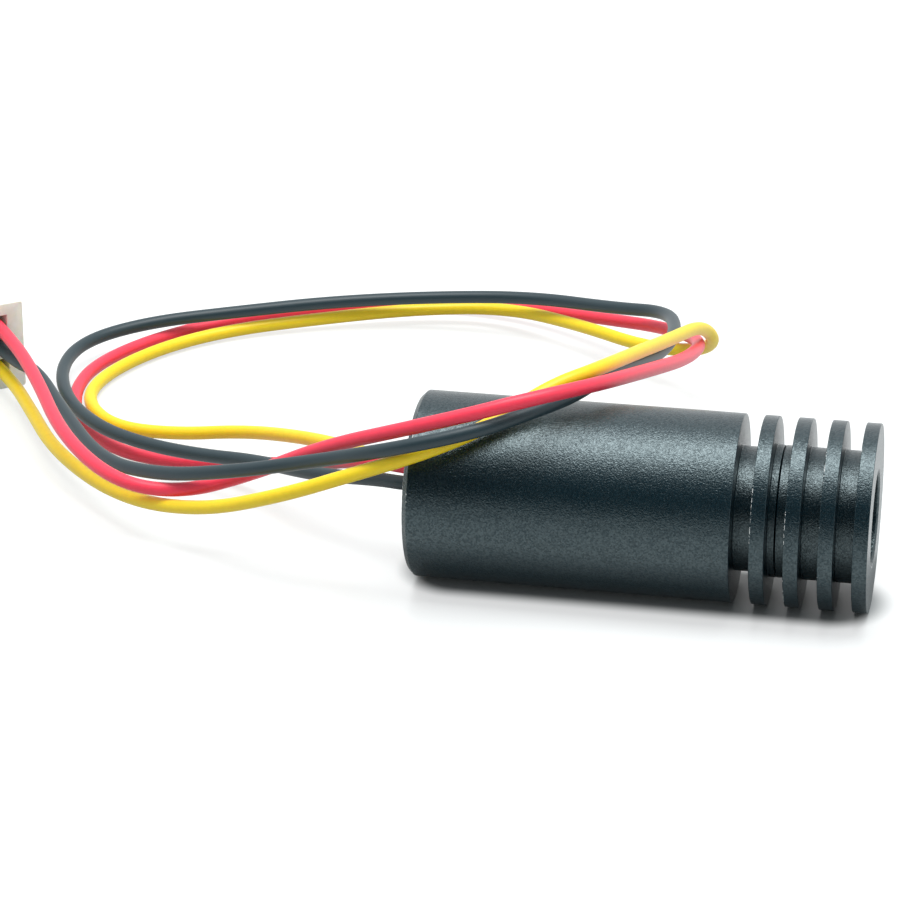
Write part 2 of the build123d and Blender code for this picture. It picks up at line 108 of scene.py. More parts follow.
# %% Camera
photo_width = 900
focal_pixels = 3700
sensor_width = 36.0
camera_distance = 354.5
camera_turn = radians(10.85)
camera_rise = radians(24.0)
camera_target = Vector((-18.9, 0, 12.65))

towards_camera = Vector(
    (
        sin(camera_turn) * cos(camera_rise),
        -cos(camera_turn) * cos(camera_rise),
        sin(camera_rise),
    )
)
camera_data = bpy.data.cameras.new("photo_camera")
camera_data.sensor_width = sensor_width
camera_data.lens = focal_pixels / photo_width * sensor_width
camera_data.clip_start = 10 * MM
camera_data.clip_end = 20
camera = bpy.data.objects.new("photo_camera", camera_data)
bpy.context.scene.collection.objects.link(camera)
camera.location = (camera_target + towards_camera * camera_distance) * MM
camera.rotation_euler = (-towards_camera).to_track_quat("-Z", "Y").to_euler()
bpy.context.scene.camera = camera
print("lens", round(camera_data.lens, 1), "mm at", [round(value, 3) for value in camera.location])

# %% [markdown]
# A small product like this is often lit by one large soft lamp overhead, in a white surround, with a
# black card on the camera's side. The surround has two strengths: what the camera, mirrors and glass
# see is full white and gives round metal its pale rims, while a weaker, cooler white fills the
# shadows, so that the lamp still models the forms.

# %% White surround
fill_strength = 0.7
wall_strength = 1.0

world = bpy.data.worlds.new("white_surround")
bpy.context.scene.world = world
world.use_nodes = True
sky = world.node_tree
sky.nodes.clear()
soft_fill = add_node(
    sky, "ShaderNodeBackground", values={"Color": colour("#F4F9FC"), "Strength": fill_strength}
)
white_wall = add_node(
    sky, "ShaderNodeBackground", values={"Color": (1, 1, 1, 1), "Strength": wall_strength}
)


def seen_directly(tree):
    """The share of rays that see a thing itself: from the camera, mirrored or through glass."""
    rays = add_node(tree, "ShaderNodeLightPath")
    mirrored = add_node(
        tree,
        "ShaderNodeMath",
        operation="MAXIMUM",
        links={0: rays.outputs["Is Camera Ray"], 1: rays.outputs["Is Glossy Ray"]},
    )
    through = add_node(
        tree,
        "ShaderNodeMath",
        operation="MAXIMUM",
        links={0: mirrored.outputs[0], 1: rays.outputs["Is Transmission Ray"]},
    )
    return through.outputs[0]


wall_or_fill = add_node(
    sky,
    "ShaderNodeMixShader",
    links={0: seen_directly(sky), 1: soft_fill.outputs[0], 2: white_wall.outputs[0]},
)
add_node(sky, "ShaderNodeOutputWorld", links={"Surface": wall_or_fill.outputs[0]})
bpy.context.scene.view_settings.view_transform = "Standard"
print("surround nodes", len(sky.nodes))

# %% [markdown]
# The lamp is an area light 72 by 38 cm, 80 cm above the table. Its width and depth set how soft the
# shadow is and how wide the highlight along the barrel is, more than its power does.

# %% Overhead softbox
softbox_width = 720
softbox_depth = 380
softbox_height = 800
softbox_back = 10
softbox_watts = 6.6

softbox_data = bpy.data.lights.new("overhead_softbox", "AREA")
softbox_data.shape = "RECTANGLE"
softbox_data.size = softbox_width * MM
softbox_data.size_y = softbox_depth * MM
softbox_data.energy = softbox_watts
softbox = bpy.data.objects.new("overhead_softbox", softbox_data)
bpy.context.scene.collection.objects.link(softbox)
softbox.location = (0, softbox_back * MM, softbox_height * MM)
print("softbox at", list(softbox.location))

# %% [markdown]
# The black card stands behind the camera and keeps a dark band along the side of the metal. That
# contrast is what makes metal look like metal. Only mirrors need to see the card, so it is hidden
# from the camera and from matt surfaces. It starts a little above the table, and the metal mirrors a
# strip of light below it.

# %% Black card
card_half_width = 800
card_y = -480
card_foot = 20
card_top = 800


def flat_piece(name, corners, finish):
    """A flat piece of the stage through four corners in millimetres."""
    mesh = bpy.data.meshes.new(name)
    mesh.from_pydata([Vector(corner) * MM for corner in corners], [], [(0, 1, 2, 3)])
    mesh.materials.append(finish)
    piece = bpy.data.objects.new(name, mesh)
    bpy.context.scene.collection.objects.link(piece)
    return piece


card_corners = [
    (-card_half_width, card_y, card_foot),
    (card_half_width, card_y, card_foot),
    (card_half_width, card_y, card_top),
    (-card_half_width, card_y, card_top),
]
card_finish = new_finish("black_velvet_card", Base_Color=colour("#0A0A0B"), Roughness=1.0)[0]
card = flat_piece("black_card", card_corners, card_finish)
card.visible_camera = False
card.visible_diffuse = False
print("card", card.name, "from", card_foot, "to", card_top, "mm")

# %% [markdown]
# The table is pale grey laminate. It keeps the module's soft shadow and mirrors it a little. A glow
# that lights nothing makes the rest of the table as white as the wall. Round the barrel the glow fades
# out, and that fade paints the shadow at the barrel's foot. It begins nearer to the barrel for the
# camera than for mirrors: the metal then mirrors a painted dark strip of table along its foot, as it
# does in the photograph. The distances are measured from a line on the table under the barrel.

# %% Table
table_half_width = 900
glow_line_half_length = 18
glow_begins = 10.8
glow_is_full = 13.6
glow_nearer_for_camera = 7
glow_strength = 0.6

table_finish, table_tree, table_surface = new_finish(
    "pale_table_laminate", Base_Color=colour("#A5A9A9"), Roughness=0.3
)
table_place = add_node(table_tree, "ShaderNodeTexCoord")
mirrored_place = add_node(
    table_tree, "ShaderNodeVectorMath", operation="ABSOLUTE", links={0: table_place.outputs["Object"]}
)
beyond_ends = add_node(
    table_tree,
    "ShaderNodeVectorMath",
    operation="SUBTRACT",
    links={0: mirrored_place.outputs[0]},
    values={1: (glow_line_half_length * MM, 0, 0)},
)
beside_barrel = add_node(
    table_tree, "ShaderNodeVectorMath", operation="MAXIMUM", links={0: beyond_ends.outputs[0]}
)
from_barrel = add_node(
    table_tree, "ShaderNodeVectorMath", operation="LENGTH", links={0: beside_barrel.outputs[0]}
)
table_rays = add_node(table_tree, "ShaderNodeLightPath")
# The glow is cut away round the barrel by distance alone, which paints the shadow at its foot; for
# mirrors the cut reaches 7 mm further out, a painted dark strip that the metal mirrors.
glow_distance = add_node(
    table_tree,
    "ShaderNodeMath",
    operation="MULTIPLY_ADD",
    links={0: table_rays.outputs["Is Camera Ray"], 2: from_barrel.outputs["Value"]},
    values={1: glow_nearer_for_camera * MM},
)
glow_level = add_node(
    table_tree,
    "ShaderNodeMapRange",
    interpolation_type="SMOOTHSTEP",
    links={"Value": glow_distance.outputs[0]},
    values={
        "From Min": glow_begins * MM,
        "From Max": glow_is_full * MM,
        "To Min": 0.0,
        "To Max": glow_strength,
    },
)
glow = add_node(table_tree, "ShaderNodeEmission", links={"Strength": glow_level.outputs["Result"]})
lit_and_glow = add_node(
    table_tree, "ShaderNodeAddShader", links={0: table_surface.outputs[0], 1: glow.outputs[0]}
)
table_view = add_node(
    table_tree,
    "ShaderNodeMixShader",
    links={0: seen_directly(table_tree), 1: table_surface.outputs[0], 2: lit_and_glow.outputs[0]},
)
table_tree.links.new(table_view.outputs[0], table_tree.nodes["Material Output"].inputs["Surface"])
table_corners = [
    (-table_half_width, -table_half_width, 0),
    (table_half_width, -table_half_width, 0),
    (table_half_width, table_half_width, 0),
    (-table_half_width, table_half_width, 0),
]
table = flat_piece("white_table", table_corners, table_finish)
print("table", table.name, "nodes", len(table_tree.nodes))

# %% [markdown]
# The leads are stranded wires in thin PVC sleeves, 1.4 mm across. Each one leaves the rear of the
# barrel, runs round a loop on the table, climbs over the barrel and ends in the connector. The points
# below are in millimetres. A real lead hangs in long even bends, so they are few and well apart, and
# their heights keep the three leads clear of each other, of the barrel and of the table.

# %% Lead routes
lead_diameter = 1.4
lead_routes = {
    "black": [
        (-18.9, -0.4, 9.0), (-22.9, -0.4, 8.9), (-26.3, 1.3, 8.4), (-33.0, 4.5, 6.8),
        (-40.6, 10.8, 4.9), (-47.3, 13.5, 3.8), (-53.9, 16.4, 3.2), (-60.0, 20.4, 2.9),
        (-65.5, 27.5, 2.6), (-68.9, 36.8, 2.3), (-68.3, 44.8, 2.2), (-62.5, 50.2, 2.6),
        (-53.7, 53.9, 3.0), (-43.8, 58.4, 3.2), (-32.9, 61.0, 3.6), (-21.4, 60.4, 4.7),
        (-11.1, 55.4, 6.1), (-4.6, 51.7, 7.6), (-2.5, 41.5, 9.6), (-2.5, 29.2, 12.0),
        (-3.8, 17.0, 15.8), (-5.2, 8.3, 18.3), (-6.4, -1.0, 19.9), (-10.2, -5.6, 19.6),
        (-15.1, -9.2, 18.7), (-22.8, -9.5, 16.5), (-31.6, -4.7, 12.4), (-40.1, -2.4, 9.6),
        (-48.1, 1.2, 7.0), (-55.9, 7.2, 5.2), (-63.9, 20.2, 4.9), (-69.0, 29.1, 4.9),
        (-72.5, 31.5, 4.9), (-76.5, 36.6, 4.9),
    ],
    "red": [
        (-18.9, -0.4, 10.5), (-22.9, -0.3, 10.6), (-27.0, 1.4, 10.3), (-31.4, 5.3, 8.0),
        (-38.6, 11.8, 4.3), (-45.3, 15.7, 2.0), (-52.1, 17.4, 1.0), (-58.4, 19.8, 0.8),
        (-64.1, 26.4, 0.8), (-66.6, 34.1, 0.8), (-66.3, 41.6, 0.8), (-61.9, 50.0, 0.8),
        (-54.5, 57.2, 0.8), (-44.7, 62.5, 0.8), (-33.9, 66.0, 0.9), (-22.7, 64.7, 1.7),
        (-12.7, 58.7, 3.4), (-5.5, 53.6, 5.0), (0.0, 44.7, 7.4), (0.3, 30.1, 11.4), (-1.4, 12.0, 17.4),
        (-4.3, -1.7, 21.4), (-9.9, -7.4, 21.8), (-15.9, -8.3, 20.0), (-22.3, -7.3, 17.6),
        (-30.3, -3.9, 13.8), (-38.8, 0.3, 8.2), (-45.9, 0.4, 5.6), (-52.7, 1.1, 5.9), (-60.4, 9.3, 6.6),
        (-67.3, 22.9, 7.1), (-72.4, 31.3, 7.4), (-76.5, 36.6, 7.4),
    ],
    "yellow": [
        (-18.9, 1.0, 9.7), (-22.6, 1.3, 9.7), (-26.2, 3.4, 9.4), (-30.3, 8.0, 8.4), (-36.6, 14.6, 6.2),
        (-44.6, 21.6, 3.2), (-52.6, 23.4, 1.4), (-59.8, 25.1, 0.9), (-64.6, 31.4, 0.8),
        (-64.7, 38.4, 0.8), (-61.0, 46.7, 0.8), (-54.7, 53.3, 0.9), (-45.4, 57.9, 1.2),
        (-34.3, 62.5, 1.5), (-24.3, 63.1, 2.1), (-15.2, 56.9, 3.2), (-7.0, 50.0, 4.0),
        (-0.9, 48.0, 4.8), (1.4, 44.4, 7.6), (0.2, 40.8, 10.8), (-1.4, 28.6, 14.0), (-3.1, 14.1, 18.2),
        (-4.9, 2.6, 21.2), (-9.2, -1.5, 20.6), (-14.1, -5.2, 17.8), (-19.7, -8.3, 15.9),
        (-26.4, -8.3, 13.2), (-34.2, -6.5, 9.4), (-43.3, -2.0, 5.0), (-53.0, 3.6, 3.0),
        (-62.7, 14.1, 2.5), (-68.9, 25.2, 2.4), (-72.4, 31.2, 2.4), (-76.5, 36.6, 2.4),
    ],
}
print("route points", [len(route) for route in lead_routes.values()])

# %% [markdown]
# PVC sleeve is extruded: smooth along its length, with a soft sheen and faint ripples where it was
# drawn off the machine. Soft plastic has an IOR near 1.5 and a middling roughness. A little light
# goes into it and comes out coloured, which keeps red and yellow full in the shade.

# %% Extruded PVC sleeve
ripple_size = 0.6
ripple_depth = 0.02
pvc_light_depth = 0.4


def pvc_sleeve(name, hex_code, roughness, light_inside):
    """Extruded PVC of one colour, with faint ripples and slight changes of tone."""
    material, tree, surface = new_finish(
        name,
        Roughness=roughness,
        IOR=1.5,
        Subsurface_Weight=light_inside,
        Subsurface_Scale=pvc_light_depth * MM,
    )
    place = add_node(tree, "ShaderNodeTexCoord")
    ripples = add_node(
        tree,
        "ShaderNodeTexNoise",
        links={"Vector": place.outputs["Object"]},
        values={"Scale": 1 / (ripple_size * MM), "Detail": 3.0},
    )
    tone = add_node(
        tree,
        "ShaderNodeMapRange",
        links={"Value": ripples.outputs["Fac"]},
        values={"To Min": 0.92, "To Max": 1.06},
    )
    shade = add_node(
        tree,
        "ShaderNodeHueSaturation",
        links={"Value": tone.outputs["Result"]},
        values={"Color": colour(hex_code)},
    )
    tree.links.new(shade.outputs["Color"], surface.inputs["Base Color"])
    bump = add_node(
        tree,
        "ShaderNodeBump",
        links={"Height": ripples.outputs["Fac"]},
        values={"Strength": 0.15, "Distance": ripple_depth * MM},
    )
    tree.links.new(bump.outputs["Normal"], surface.inputs["Normal"])
    return material


lead_finishes = {
    "black": pvc_sleeve("extruded_pvc_black", "#22363D", roughness=0.45, light_inside=0.0),
    "red": pvc_sleeve("extruded_pvc_red", "#FA3C56", roughness=0.42, light_inside=0.15),
    "yellow": pvc_sleeve("extruded_pvc_yellow", "#FEDB18", roughness=0.42, light_inside=0.15),
}
print("sleeves", [finish.name for finish in lead_finishes.values()])

# %% [markdown]
# Small moulded and machined pieces have edges a few hundredths of a millimetre round. Each such CAD
# solid is copied, its triangles are joined up into flat faces again, and a bevel rounds its sharp
# edges, so that they catch thin lines of light. The copy then stands for the solid.

# %% Softened copies of solids
rim_segments = 3
weld_distance = 0.002
softened_from_angle = 35


def softened(node_name, body, rim_round, finish):
    """A copy of one solid with its sharp edges rounded, in place of the solid."""
    form = bmesh.new()
    form.from_mesh(nodes[node_name].data)
    bmesh.ops.remove_doubles(form, verts=form.verts, dist=weld_distance * MM)
    bmesh.ops.dissolve_limit(form, angle_limit=radians(1), verts=form.verts, edges=form.edges)
    mesh = bpy.data.meshes.new(node_name + "_softened")
    form.to_mesh(mesh)
    form.free()
    mesh.materials.append(finish)
    for face in mesh.polygons:
        face.use_smooth = True
    piece = bpy.data.objects.new(node_name + "_softened", mesh)
    bpy.context.scene.collection.objects.link(piece)
    rims = piece.modifiers.new("rims", "BEVEL")
    rims.width = rim_round * MM
    rims.segments = rim_segments
    rims.limit_method = "ANGLE"
    rims.angle_limit = radians(softened_from_angle)
    rims.harden_normals = True
    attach(piece, body)
    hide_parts(node_name)
    return piece


print("softened rims have", rim_segments, "faces across")

# %% [markdown]
# Most small parts share one kind of surface: a fine grain of its own size that changes the colour a
# little and dents the surface a little. One function makes it. Each real material then has its own
# two tones, grain in millimetres, roughness, and metal or not. Nylon for such connectors is moulded
# without pigment, so it is a warm, slightly see-through white. Light goes about half a millimetre
# into it, which softens its shadows. Its contacts are tinned brass: dull silver with a fine grain.

# %% Moulded nylon connector
nylon_light_depth = 0.5


def grained(name, dark, light, grain, depth, **values):
    """A surface with a fine grain: two tones, the grain's size and its depth in millimetres."""
    material, tree, surface = new_finish(name, **values)
    place = add_node(tree, "ShaderNodeTexCoord")
    grains = add_node(
        tree,
        "ShaderNodeTexNoise",
        links={"Vector": place.outputs["Object"]},
        values={"Scale": 1 / (grain * MM), "Detail": 4.0, "Roughness": 0.6},
    )
    tones = add_node(tree, "ShaderNodeValToRGB", links={"Fac": grains.outputs["Fac"]})
    two_tones(tones, dark, light)
    tree.links.new(tones.outputs["Color"], surface.inputs["Base Color"])
    bump = add_node(
        tree,
        "ShaderNodeBump",
        links={"Height": grains.outputs["Fac"]},
        values={"Strength": 1.0, "Distance": depth * MM},
    )
    tree.links.new(bump.outputs["Normal"], surface.inputs["Normal"])
    return material


nylon = grained(
    "moulded_nylon",
    "#F1F5E6",
    "#F8FAF0",
    grain=0.9,
    depth=0.004,
    Roughness=0.42,
    IOR=1.53,
    Subsurface_Weight=0.3,
    Subsurface_Scale=nylon_light_depth * MM,
)
housing = softened("connector_housing", "module", rim_round=0.12, finish=nylon)
tinned_brass = grained(
    "tinned_brass", "#B9B5AA", "#D6D2C8", grain=0.3, depth=0.003, Roughness=0.3, Metallic=1.0
)
dress(tinned_brass, "connector_contacts")
print("connector housing faces", len(housing.data.polygons))

# %% [markdown]
# A NURBS curve of order 3 bends as smoothly as a real lead does between a few given points, and
# a round bevel gives it its thickness. The black and the red lead are not mirrored in the metal: in
# the model they hang a little high over the barrel, and their mirror images would cut its highlight
# in two.

# %% Leads
def lay_lead(name, route, finish):
    """A round lead along a smooth NURBS curve through the route's control points."""
    curve = bpy.data.curves.new(name, "CURVE")
    curve.dimensions = "3D"
    line = curve.splines.new("NURBS")
    line.points.add(len(route) - 1)
    for point, (x, y, z) in zip(line.points, route):
        point.co = (x * MM, y * MM, z * MM, 1)
    line.order_u = 3
    line.use_endpoint_u = True
    line.resolution_u = 10
    curve.bevel_depth = lead_diameter / 2 * MM
    curve.bevel_resolution = 6
    curve.use_fill_caps = True
    curve.materials.append(finish)
    lead = bpy.data.objects.new(name, curve)
    bpy.context.scene.collection.objects.link(lead)
    return lead


for tint, route in lead_routes.items():
    lead = lay_lead(tint + "_sleeve", route, lead_finishes[tint])
    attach(lead, "module")
    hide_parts(tint + "_lead")
    lead.visible_glossy = tint == "yellow"
    print(tint, "lead, points", len(route))

# %% [markdown]
# The housing is aluminium, turned on a lathe, blasted with fine glass beads and anodised black. The
# beads leave shallow dents about 0.15 mm across. They spread the highlight into a band of tiny
# sparks: a bump gives the dents, and each cell of a Voronoi pattern reflects a little more or less
# than the next. The oxide film has an IOR near 1.7 and holds a blue black dye.

# %% Blasted and anodised aluminium
blasted_roughness = 0.28
bead_dent = 0.16
dent_depth = 0.045
dull_spark = 0.4
bright_spark = 0.76


def blasted_anodised(name):
    """Black anodised aluminium with bead dents, and its nodes, for chips to build on."""
    material, tree, surface = new_finish(
        name, Roughness=blasted_roughness, IOR=1.68, Specular_Tint=colour("#DDF2F6")
    )
    place = add_node(tree, "ShaderNodeTexCoord")
    dents = add_node(
        tree,
        "ShaderNodeTexNoise",
        links={"Vector": place.outputs["Object"]},
        values={"Scale": 1 / (bead_dent * MM), "Detail": 2.0, "Roughness": 0.6},
    )
    bump = add_node(
        tree,
        "ShaderNodeBump",
        links={"Height": dents.outputs["Fac"]},
        values={"Strength": 1.0, "Distance": dent_depth * MM},
    )
    tree.links.new(bump.outputs["Normal"], surface.inputs["Normal"])
    facets = add_node(
        tree,
        "ShaderNodeTexVoronoi",
        links={"Vector": place.outputs["Object"]},
        values={"Scale": 1 / (bead_dent * MM)},
    )
    sparks = add_node(
        tree,
        "ShaderNodeMapRange",
        links={"Value": facets.outputs["Color"]},
        values={"From Min": 0.2, "From Max": 0.8, "To Min": dull_spark, "To Max": bright_spark},
    )
    tree.links.new(sparks.outputs["Result"], surface.inputs["Specular IOR Level"])
    dye = add_node(tree, "ShaderNodeValToRGB", links={"Fac": dents.outputs["Fac"]})
    two_tones(dye, "#04171E", "#07212A")
    tree.links.new(dye.outputs["Color"], surface.inputs["Base Color"])
    return material, tree, surface, place, dye


housing_finish = blasted_anodised("blasted_anodised_aluminium")[0]
print("dent size", bead_dent, "mm")

# %% [markdown]
# On worn rims the film has chipped off in specks, where bare aluminium shows. The sum of two noises
# makes them: a fine one gives the specks their shape, and a coarse one gathers them in patches. One
# place between the first two fins was knocked, so more has chipped off near it. The chips are only
# on the outer rims that face the rear, which are told by their distance from the axis and by their
# true normal. Broken metal is rough, so a chip is a matt silver and not a bright spot.

# %% Chipped rims
axis_height = 9.0
chip_size = 0.45
chip_patch = 5.0
chip_level = 1.23
chip_roughness = 0.7
knocked_place = Vector((12.3, -8.4, 11.6))
knocked_reach = 4.2
knocked_bonus = 0.42
rearward_from = 0.2
outer_rim_from = 8.2


def from_axis(tree, place):
    """Distance of a point from the barrel's axis, in metres."""
    beside = add_node(
        tree,
        "ShaderNodeVectorMath",
        operation="SUBTRACT",
        links={0: place.outputs["Object"]},
        values={1: (0, 0, axis_height * MM)},
    )
    across = add_node(
        tree,
        "ShaderNodeVectorMath",
        operation="MULTIPLY",
        links={0: beside.outputs[0]},
        values={1: (0, 1, 1)},
    )
    distance = add_node(
        tree, "ShaderNodeVectorMath", operation="LENGTH", links={0: across.outputs[0]}
    )
    return distance.outputs["Value"]


def chipped_anodised(name):
    """The blasted finish with chips to bare metal on the outer rims that face the rear."""
    material, tree, surface, place, dye = blasted_anodised(name)
    chips = add_node(
        tree,
        "ShaderNodeTexNoise",
        links={"Vector": place.outputs["Object"]},
        values={"Scale": 1 / (chip_size * MM), "Detail": 5.0, "Roughness": 0.65},
    )
    patches = add_node(
        tree,
        "ShaderNodeTexNoise",
        links={"Vector": place.outputs["Object"]},
        values={"Scale": 1 / (chip_patch * MM), "Detail": 1.0},
    )
    wear = add_node(
        tree,
        "ShaderNodeMath",
        operation="ADD",
        links={0: chips.outputs["Fac"], 1: patches.outputs["Fac"]},
    )
    from_knock = add_node(
        tree,
        "ShaderNodeVectorMath",
        operation="DISTANCE",
        links={0: place.outputs["Object"]},
        values={1: knocked_place * MM},
    )
    knock = add_node(
        tree,
        "ShaderNodeMapRange",
        links={"Value": from_knock.outputs["Value"]},
        values={"From Min": 0, "From Max": knocked_reach * MM, "To Min": knocked_bonus, "To Max": 0},
    )
    knocked_wear = add_node(
        tree,
        "ShaderNodeMath",
        operation="ADD",
        links={0: wear.outputs[0], 1: knock.outputs["Result"]},
    )
    bare = add_node(
        tree,
        "ShaderNodeMath",
        operation="GREATER_THAN",
        links={0: knocked_wear.outputs[0]},
        values={1: chip_level},
    )
    facing = add_node(tree, "ShaderNodeNewGeometry")
    rearward = add_node(
        tree,
        "ShaderNodeVectorMath",
        operation="DOT_PRODUCT",
        links={0: facing.outputs["True Normal"]},
        values={1: (-1, 0, 0)},
    )
    rear_rim = add_node(
        tree,
        "ShaderNodeMath",
        operation="GREATER_THAN",
        links={0: rearward.outputs["Value"]},
        values={1: rearward_from},
    )
    bare_rear_rim = add_node(
        tree,
        "ShaderNodeMath",
        operation="MULTIPLY",
        links={0: bare.outputs[0], 1: rear_rim.outputs[0]},
    )
    outer = add_node(
        tree,
        "ShaderNodeMath",
        operation="GREATER_THAN",
        links={0: from_axis(tree, place)},
        values={1: outer_rim_from * MM},
    )
    chipped = add_node(
        tree,
        "ShaderNodeMath",
        operation="MULTIPLY",
        links={0: bare_rear_rim.outputs[0], 1: outer.outputs[0]},
    )
    dye_or_metal = add_node(
        tree,
        "ShaderNodeMix",
        data_type="RGBA",
        links={0: chipped.outputs[0], 6: dye.outputs["Color"]},
        values={7: colour("#D9DCDC")},
    )
    tree.links.new(dye_or_metal.outputs[2], surface.inputs["Base Color"])
    tree.links.new(chipped.outputs[0], surface.inputs["Metallic"])
    scatter = add_node(
        tree,
        "ShaderNodeMapRange",
        links={"Value": chipped.outputs[0]},
        values={"To Min": blasted_roughness, "To Max": chip_roughness},
    )
    tree.links.new(scatter.outputs["Result"], surface.inputs["Roughness"])
    return material


rim_finish = chipped_anodised("chipped_anodised_rim")
print("chip size", chip_size, "mm, nodes", len(rim_finish.node_tree.nodes))

# %% [markdown]
# A turned part is a profile spun round its axis. The profiles below are half sections, written as
# places along the axis and radii in millimetres. The lathe tool leaves small radii on the rims, so a
# bevel rounds every corner; they catch thin lines of light, which plain sharp edges never do. The
# bevel gives its new faces the second finish, the chipped one.

# %% Turned parts
spin_steps = 256
turned_from_angle = 30


def turned_part(name, profile, rim_round):
    """Spin a closed half section round the barrel's axis and round its rims."""
    form = bmesh.new()
    rings = []
    for step in range(spin_steps):
        angle = 2 * pi * step / spin_steps
        ring = [
            form.verts.new((x * MM, radius * sin(angle) * MM, (axis_height + radius * cos(angle)) * MM))
            for x, radius in profile
        ]
        rings.append(ring)
    for ring, following in zip(rings, rings[1:] + rings[:1]):
        for index in range(len(profile)):
            after = (index + 1) % len(profile)
            form.faces.new((ring[index], ring[after], following[after], following[index]))
    bmesh.ops.recalc_face_normals(form, faces=form.faces)
    mesh = bpy.data.meshes.new(name)
    form.to_mesh(mesh)
    form.free()
    for face in mesh.polygons:
        face.use_smooth = True
    mesh.materials.append(housing_finish)
    mesh.materials.append(rim_finish)
    part = bpy.data.objects.new(name, mesh)
    bpy.context.scene.collection.objects.link(part)
    rims = part.modifiers.new("rims", "BEVEL")
    rims.width = rim_round * MM
    rims.segments = rim_segments
    rims.limit_method = "ANGLE"
    rims.angle_limit = radians(turned_from_angle)
    rims.harden_normals = True
    rims.material = 1
    return part


print("steps in one turn", spin_steps)

# %% [markdown]
# The barrel is a tube. From its rear it has a small chamfer, the long plain part, a groove, the first
# fin and a stub of the core that ends at the seam. Inside it a bore steps down to the seat of the
# diode's holder and then to the running fit of the head's spigot. All sizes are in millimetres and
# are those of the solid model.

# %% Barrel
rear_x = -21.95
barrel_radius = 9.0
barrel_front_x = 9.1
neck_radius = 5.95
neck_gap = 1.85
core_radius = 6.3
fin_thickness = 1.4
rear_chamfer = 0.5
stub_x = barrel_front_x + neck_gap + fin_thickness
seam_x = stub_x + 0.7
bore_radius = 7.5
seat_radius = 6.0
seat_x = 3.1
seat_front_x = 8.1
spigot_bore_radius = 5.04

barrel = turned_part(
    "turned_barrel",
    [
        (rear_x, barrel_radius - rear_chamfer),
        (rear_x + rear_chamfer, barrel_radius),
        (barrel_front_x, barrel_radius),
        (barrel_front_x, neck_radius),
        (barrel_front_x + neck_gap, neck_radius),
        (barrel_front_x + neck_gap, barrel_radius),
        (stub_x, barrel_radius),
        (stub_x, core_radius),
        (seam_x, core_radius),
        (seam_x, spigot_bore_radius),
        (seat_front_x, spigot_bore_radius),
        (seat_front_x, seat_radius),
        (seat_x, seat_radius),
        (seat_x, bore_radius),
        (rear_x, bore_radius),
    ],
    rim_round=0.08,
)
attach(barrel, "module")
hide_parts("barrel")
print("barrel from", rear_x, "to", round(seam_x, 2), "mm, faces", len(barrel.data.polygons))

# %% [markdown]
# The head screws into the barrel, so it is a part of its own that starts at the seam. Three fins
# stand on its core, and a loop adds their corners to the profile. Behind the seam is the spigot, and
# in front the bore that holds the lens cell opens with a small chamfer. The head rides on its own
# body.

# %% Lens head
front_x = 21.95
fin_count = 3
fin_gap = 1.8
seam_gap = 0.08
spigot_radius = 5.0
spigot_length = 3.0
lens_bore_radius = 4.5
lens_seat_x = 14.01
light_path_radius = 3.6
mouth_chamfer = 0.2

head_x = seam_x + seam_gap
head_profile = [
    (head_x - spigot_length, light_path_radius),
    (head_x - spigot_length, spigot_radius),
    (head_x, spigot_radius),
    (head_x, core_radius),
]
for index in range(fin_count):
    fin_x = stub_x + fin_gap + index * (fin_gap + fin_thickness)
    head_profile += [
        (fin_x, core_radius),
        (fin_x, barrel_radius),
        (fin_x + fin_thickness, barrel_radius),
    ]
    if index < fin_count - 1:
        head_profile.append((fin_x + fin_thickness, core_radius))
head_profile += [
    (front_x, lens_bore_radius + mouth_chamfer),
    (front_x - mouth_chamfer, lens_bore_radius),
    (lens_seat_x, lens_bore_radius),
    (lens_seat_x, light_path_radius),
]
lens_head = turned_part("turned_lens_head", head_profile, rim_round=0.07)
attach(lens_head, "focus_head")
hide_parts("lens_head")
print("lens head to", front_x, "mm, faces", len(lens_head.data.polygons))

# %% [markdown]
# The lens cell, the brass holder and the locking ring were turned and not blasted, so they keep the
# fine rings that the tool cut. Real rings are about 0.05 mm apart; here they are 0.12 mm apart,
# because finer ones would vanish between the pixels. The rear cap is turned from black acetal.

# %% Turned finishes
ring_spacing = 0.12
stain_size = 1.5


def ringed(name, dark, light, depth, **values):
    """A turned surface with fine rings round the barrel's axis."""
    material, tree, surface = new_finish(name, **values)
    place = add_node(tree, "ShaderNodeTexCoord")
    rings = add_node(
        tree,
        "ShaderNodeMath",
        operation="PINGPONG",
        links={0: from_axis(tree, place)},
        values={1: ring_spacing / 2 * MM},
    )
    height = add_node(
        tree,
        "ShaderNodeMapRange",
        links={"Value": rings.outputs[0]},
        values={"From Max": ring_spacing / 2 * MM},
    )
    stains = add_node(
        tree,
        "ShaderNodeTexNoise",
        links={"Vector": place.outputs["Object"]},
        values={"Scale": 1 / (stain_size * MM), "Detail": 3.0},
    )
    tones = add_node(tree, "ShaderNodeValToRGB", links={"Fac": stains.outputs["Fac"]})
    two_tones(tones, dark, light)
    tree.links.new(tones.outputs["Color"], surface.inputs["Base Color"])
    bump = add_node(
        tree,
        "ShaderNodeBump",
        links={"Height": height.outputs["Result"]},
        values={"Strength": 1.0, "Distance": depth * MM},
    )
    tree.links.new(bump.outputs["Normal"], surface.inputs["Normal"])
    return material


